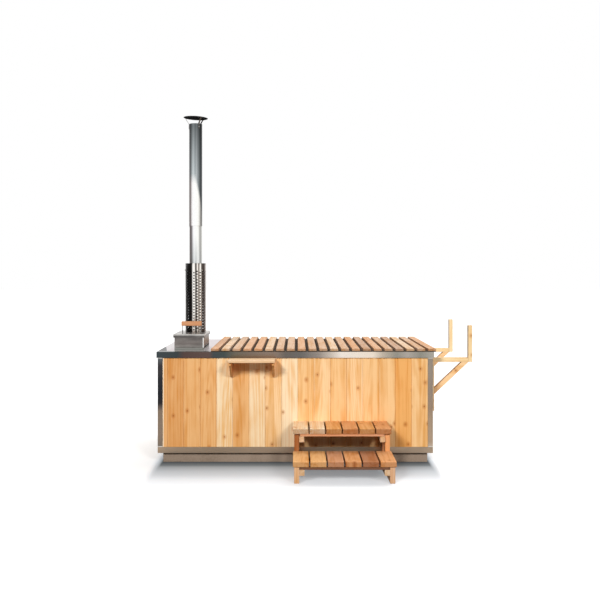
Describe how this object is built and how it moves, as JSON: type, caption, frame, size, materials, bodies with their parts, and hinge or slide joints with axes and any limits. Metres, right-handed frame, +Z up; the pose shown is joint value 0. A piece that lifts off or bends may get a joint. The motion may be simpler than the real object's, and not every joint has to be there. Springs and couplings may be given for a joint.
{
  "type": "wood-burning hot tub",
  "caption": "Cedar-clad soaking tub with a submerged wood stove and chimney, a roll-up slatted cover with its holder, a side shelf and steps.",
  "frame": {"origin": "on the floor under the middle of the tub, at the centre of the plinth's middle bearer", "axes": "+X along the tub away from the stove, +Y to the rear, away from the steps, +Z up along the chimney"},
  "size_m": [2.366, 1.9614, 2.622],
  "materials": {
    "plinth_wood": "satin grey-brown sheet over boards",
    "rim_metal": "brushed",
    "cedar_cladding": "clear oiled cedar boards",
    "foam": "closed-cell foam",
    "tank_metal": "mill finish",
    "deck_metal": "polished",
    "stove_plate": "welded plate",
    "neck_metal": "brushed",
    "iron": "bare",
    "grip_wood": "oiled cedar",
    "pipe_metal": "rolled bright sheet",
    "guard_metal": "polished perforated sheet",
    "cap_metal": "sooted underside",
    "inner_wood": "wet cedar",
    "drain_brass": "cast",
    "ball_metal": "polished",
    "lever_paint": "dipped",
    "shelf_wood": "oiled cedar",
    "holder_wood": "pale cedar",
    "step_wood": "reddish cedar",
    "step_frame_wood": "reddish cedar",
    "screw_metal": "zinc plated",
    "slat_wood": "weathered cedar on a dark mat"
  },
  "bodies": {
    "root": {"plinth": "plinth_wood", "base_rail": "rim_metal", "corner_posts": "rim_metal", "cladding_front": "cedar_cladding", "cladding_back": "cedar_cladding", "cladding_ends": "cedar_cladding", "insulation": "foam", "tank": "tank_metal", "top_rim": "rim_metal", "stove_deck": "deck_metal", "firebox": "stove_plate", "stove_neck": "neck_metal", "fire_grate": "iron", "flue_collar": "pipe_metal", "chimney_lower": "pipe_metal", "chimney_upper": "pipe_metal", "heat_guard": "guard_metal", "guard_spacers": "pipe_metal", "rain_cap": "cap_metal", "cap_straps": "pipe_metal", "stove_fence": "inner_wood", "bench_seats": "inner_wood", "bench_frames": "inner_wood", "drain_fitting": "drain_brass", "shelf_board": "shelf_wood", "shelf_brackets": "shelf_wood", "holder_legs": "holder_wood", "holder_arms": "holder_wood", "holder_uprights": "holder_wood", "holder_braces": "holder_wood", "screws": "screw_metal"},
    "stove_lid": {"stove_lid": "neck_metal", "lid_grip": "grip_wood", "grip_strips": "neck_metal"},
    "drain_lever": {"valve_ball": "ball_metal", "valve_lever": "lever_paint"},
    "steps": {"step_planks": "step_wood", "step_legs": "step_frame_wood", "step_bearers": "step_frame_wood"},
    "cover_21": {"cover_slat_21": "slat_wood"},
    "cover_20": {"cover_slat_20": "slat_wood"},
    "cover_19": {"cover_slat_19": "slat_wood"},
    "cover_18": {"cover_slat_18": "slat_wood"},
    "cover_17": {"cover_slat_17": "slat_wood"},
    "cover_16": {"cover_slat_16": "slat_wood"},
    "cover_15": {"cover_slat_15": "slat_wood"},
    "cover_14": {"cover_slat_14": "slat_wood"},
    "cover_13": {"cover_slat_13": "slat_wood"},
    "cover_12": {"cover_slat_12": "slat_wood"},
    "cover_11": {"cover_slat_11": "slat_wood"},
    "cover_10": {"cover_slat_10": "slat_wood"},
    "cover_09": {"cover_slat_09": "slat_wood"},
    "cover_08": {"cover_slat_08": "slat_wood"},
    "cover_07": {"cover_slat_07": "slat_wood"},
    "cover_06": {"cover_slat_06": "slat_wood"},
    "cover_05": {"cover_slat_05": "slat_wood"},
    "cover_04": {"cover_slat_04": "slat_wood"},
    "cover_03": {"cover_slat_03": "slat_wood"},
    "cover_02": {"cover_slat_02": "slat_wood"},
    "cover_01": {"cover_slat_01": "slat_wood"}
  },
  "joints": [
    {"name": "cover_tip", "type": "hinge", "parent": "root", "child": "cover_21", "pos_m": [1.024, 0, 0.82], "axis": [0, 1, 0], "range_deg": [0, 66]},
    {"name": "cover_fold_20", "type": "hinge", "parent": "cover_21", "child": "cover_20", "pos_m": [0.9694, 0, 0.82], "axis": [0, 1, 0], "range_deg": [0, 29.7]},
    {"name": "cover_fold_19", "type": "hinge", "parent": "cover_20", "child": "cover_19", "pos_m": [0.8892, 0, 0.82], "axis": [0, 1, 0], "range_deg": [0, 30.2]},
    {"name": "cover_fold_18", "type": "hinge", "parent": "cover_19", "child": "cover_18", "pos_m": [0.809, 0, 0.82], "axis": [0, 1, 0], "range_deg": [0, 30.7]},
    {"name": "cover_fold_17", "type": "hinge", "parent": "cover_18", "child": "cover_17", "pos_m": [0.7288, 0, 0.82], "axis": [0, 1, 0], "range_deg": [0, 31.3]},
    {"name": "cover_fold_16", "type": "hinge", "parent": "cover_17", "child": "cover_16", "pos_m": [0.6486, 0, 0.82], "axis": [0, 1, 0], "range_deg": [0, 31.8]},
    {"name": "cover_fold_15", "type": "hinge", "parent": "cover_16", "child": "cover_15", "pos_m": [0.5684, 0, 0.82], "axis": [0, 1, 0], "range_deg": [0, 32.4]},
    {"name": "cover_fold_14", "type": "hinge", "parent": "cover_15", "child": "cover_14", "pos_m": [0.4882, 0, 0.82], "axis": [0, 1, 0], "range_deg": [0, 33.1]},
    {"name": "cover_fold_13", "type": "hinge", "parent": "cover_14", "child": "cover_13", "pos_m": [0.408, 0, 0.82], "axis": [0, 1, 0], "range_deg": [0, 33.8]},
    {"name": "cover_fold_12", "type": "hinge", "parent": "cover_13", "child": "cover_12", "pos_m": [0.3278, 0, 0.82], "axis": [0, 1, 0], "range_deg": [0, 34.5]},
    {"name": "cover_fold_11", "type": "hinge", "parent": "cover_12", "child": "cover_11", "pos_m": [0.2476, 0, 0.82], "axis": [0, 1, 0], "range_deg": [0, 35.3]},
    {"name": "cover_fold_10", "type": "hinge", "parent": "cover_11", "child": "cover_10", "pos_m": [0.1674, 0, 0.82], "axis": [0, 1, 0], "range_deg": [0, 36.1]},
    {"name": "cover_fold_09", "type": "hinge", "parent": "cover_10", "child": "cover_09", "pos_m": [0.0872, 0, 0.82], "axis": [0, 1, 0], "range_deg": [0, 37]},
    {"name": "cover_fold_08", "type": "hinge", "parent": "cover_09", "child": "cover_08", "pos_m": [0.007, 0, 0.82], "axis": [0, 1, 0], "range_deg": [0, 38]},
    {"name": "cover_fold_07", "type": "hinge", "parent": "cover_08", "child": "cover_07", "pos_m": [-0.0732, 0, 0.82], "axis": [0, 1, 0], "range_deg": [0, 39.1]},
    {"name": "cover_fold_06", "type": "hinge", "parent": "cover_07", "child": "cover_06", "pos_m": [-0.1534, 0, 0.82], "axis": [0, 1, 0], "range_deg": [0, 40.2]},
    {"name": "cover_fold_05", "type": "hinge", "parent": "cover_06", "child": "cover_05", "pos_m": [-0.2336, 0, 0.82], "axis": [0, 1, 0], "range_deg": [0, 41.5]},
    {"name": "cover_fold_04", "type": "hinge", "parent": "cover_05", "child": "cover_04", "pos_m": [-0.3138, 0, 0.82], "axis": [0, 1, 0], "range_deg": [0, 42.9]},
    {"name": "cover_fold_03", "type": "hinge", "parent": "cover_04", "child": "cover_03", "pos_m": [-0.394, 0, 0.82], "axis": [0, 1, 0], "range_deg": [0, 44.4]},
    {"name": "cover_fold_02", "type": "hinge", "parent": "cover_03", "child": "cover_02", "pos_m": [-0.4742, 0, 0.82], "axis": [0, 1, 0], "range_deg": [0, 46.2]},
    {"name": "cover_fold_01", "type": "hinge", "parent": "cover_02", "child": "cover_01", "pos_m": [-0.5544, 0, 0.82], "axis": [0, 1, 0], "range_deg": [0, 48.1]},
    {"name": "lid_slide", "type": "slide", "parent": "root", "child": "stove_lid", "axis": [0, -1, 0], "range_m": [0, 0.15]},
    {"name": "drain_lever", "type": "hinge", "parent": "root", "child": "drain_lever", "pos_m": [0.7, 0.652, 0.151], "axis": [0, 0, 1], "range_deg": [0, 90]},
    {"name": "steps_slide", "type": "slide", "parent": "root", "child": "steps", "axis": [0, -1, 0], "range_m": [0, 0.5]}
  ]
}
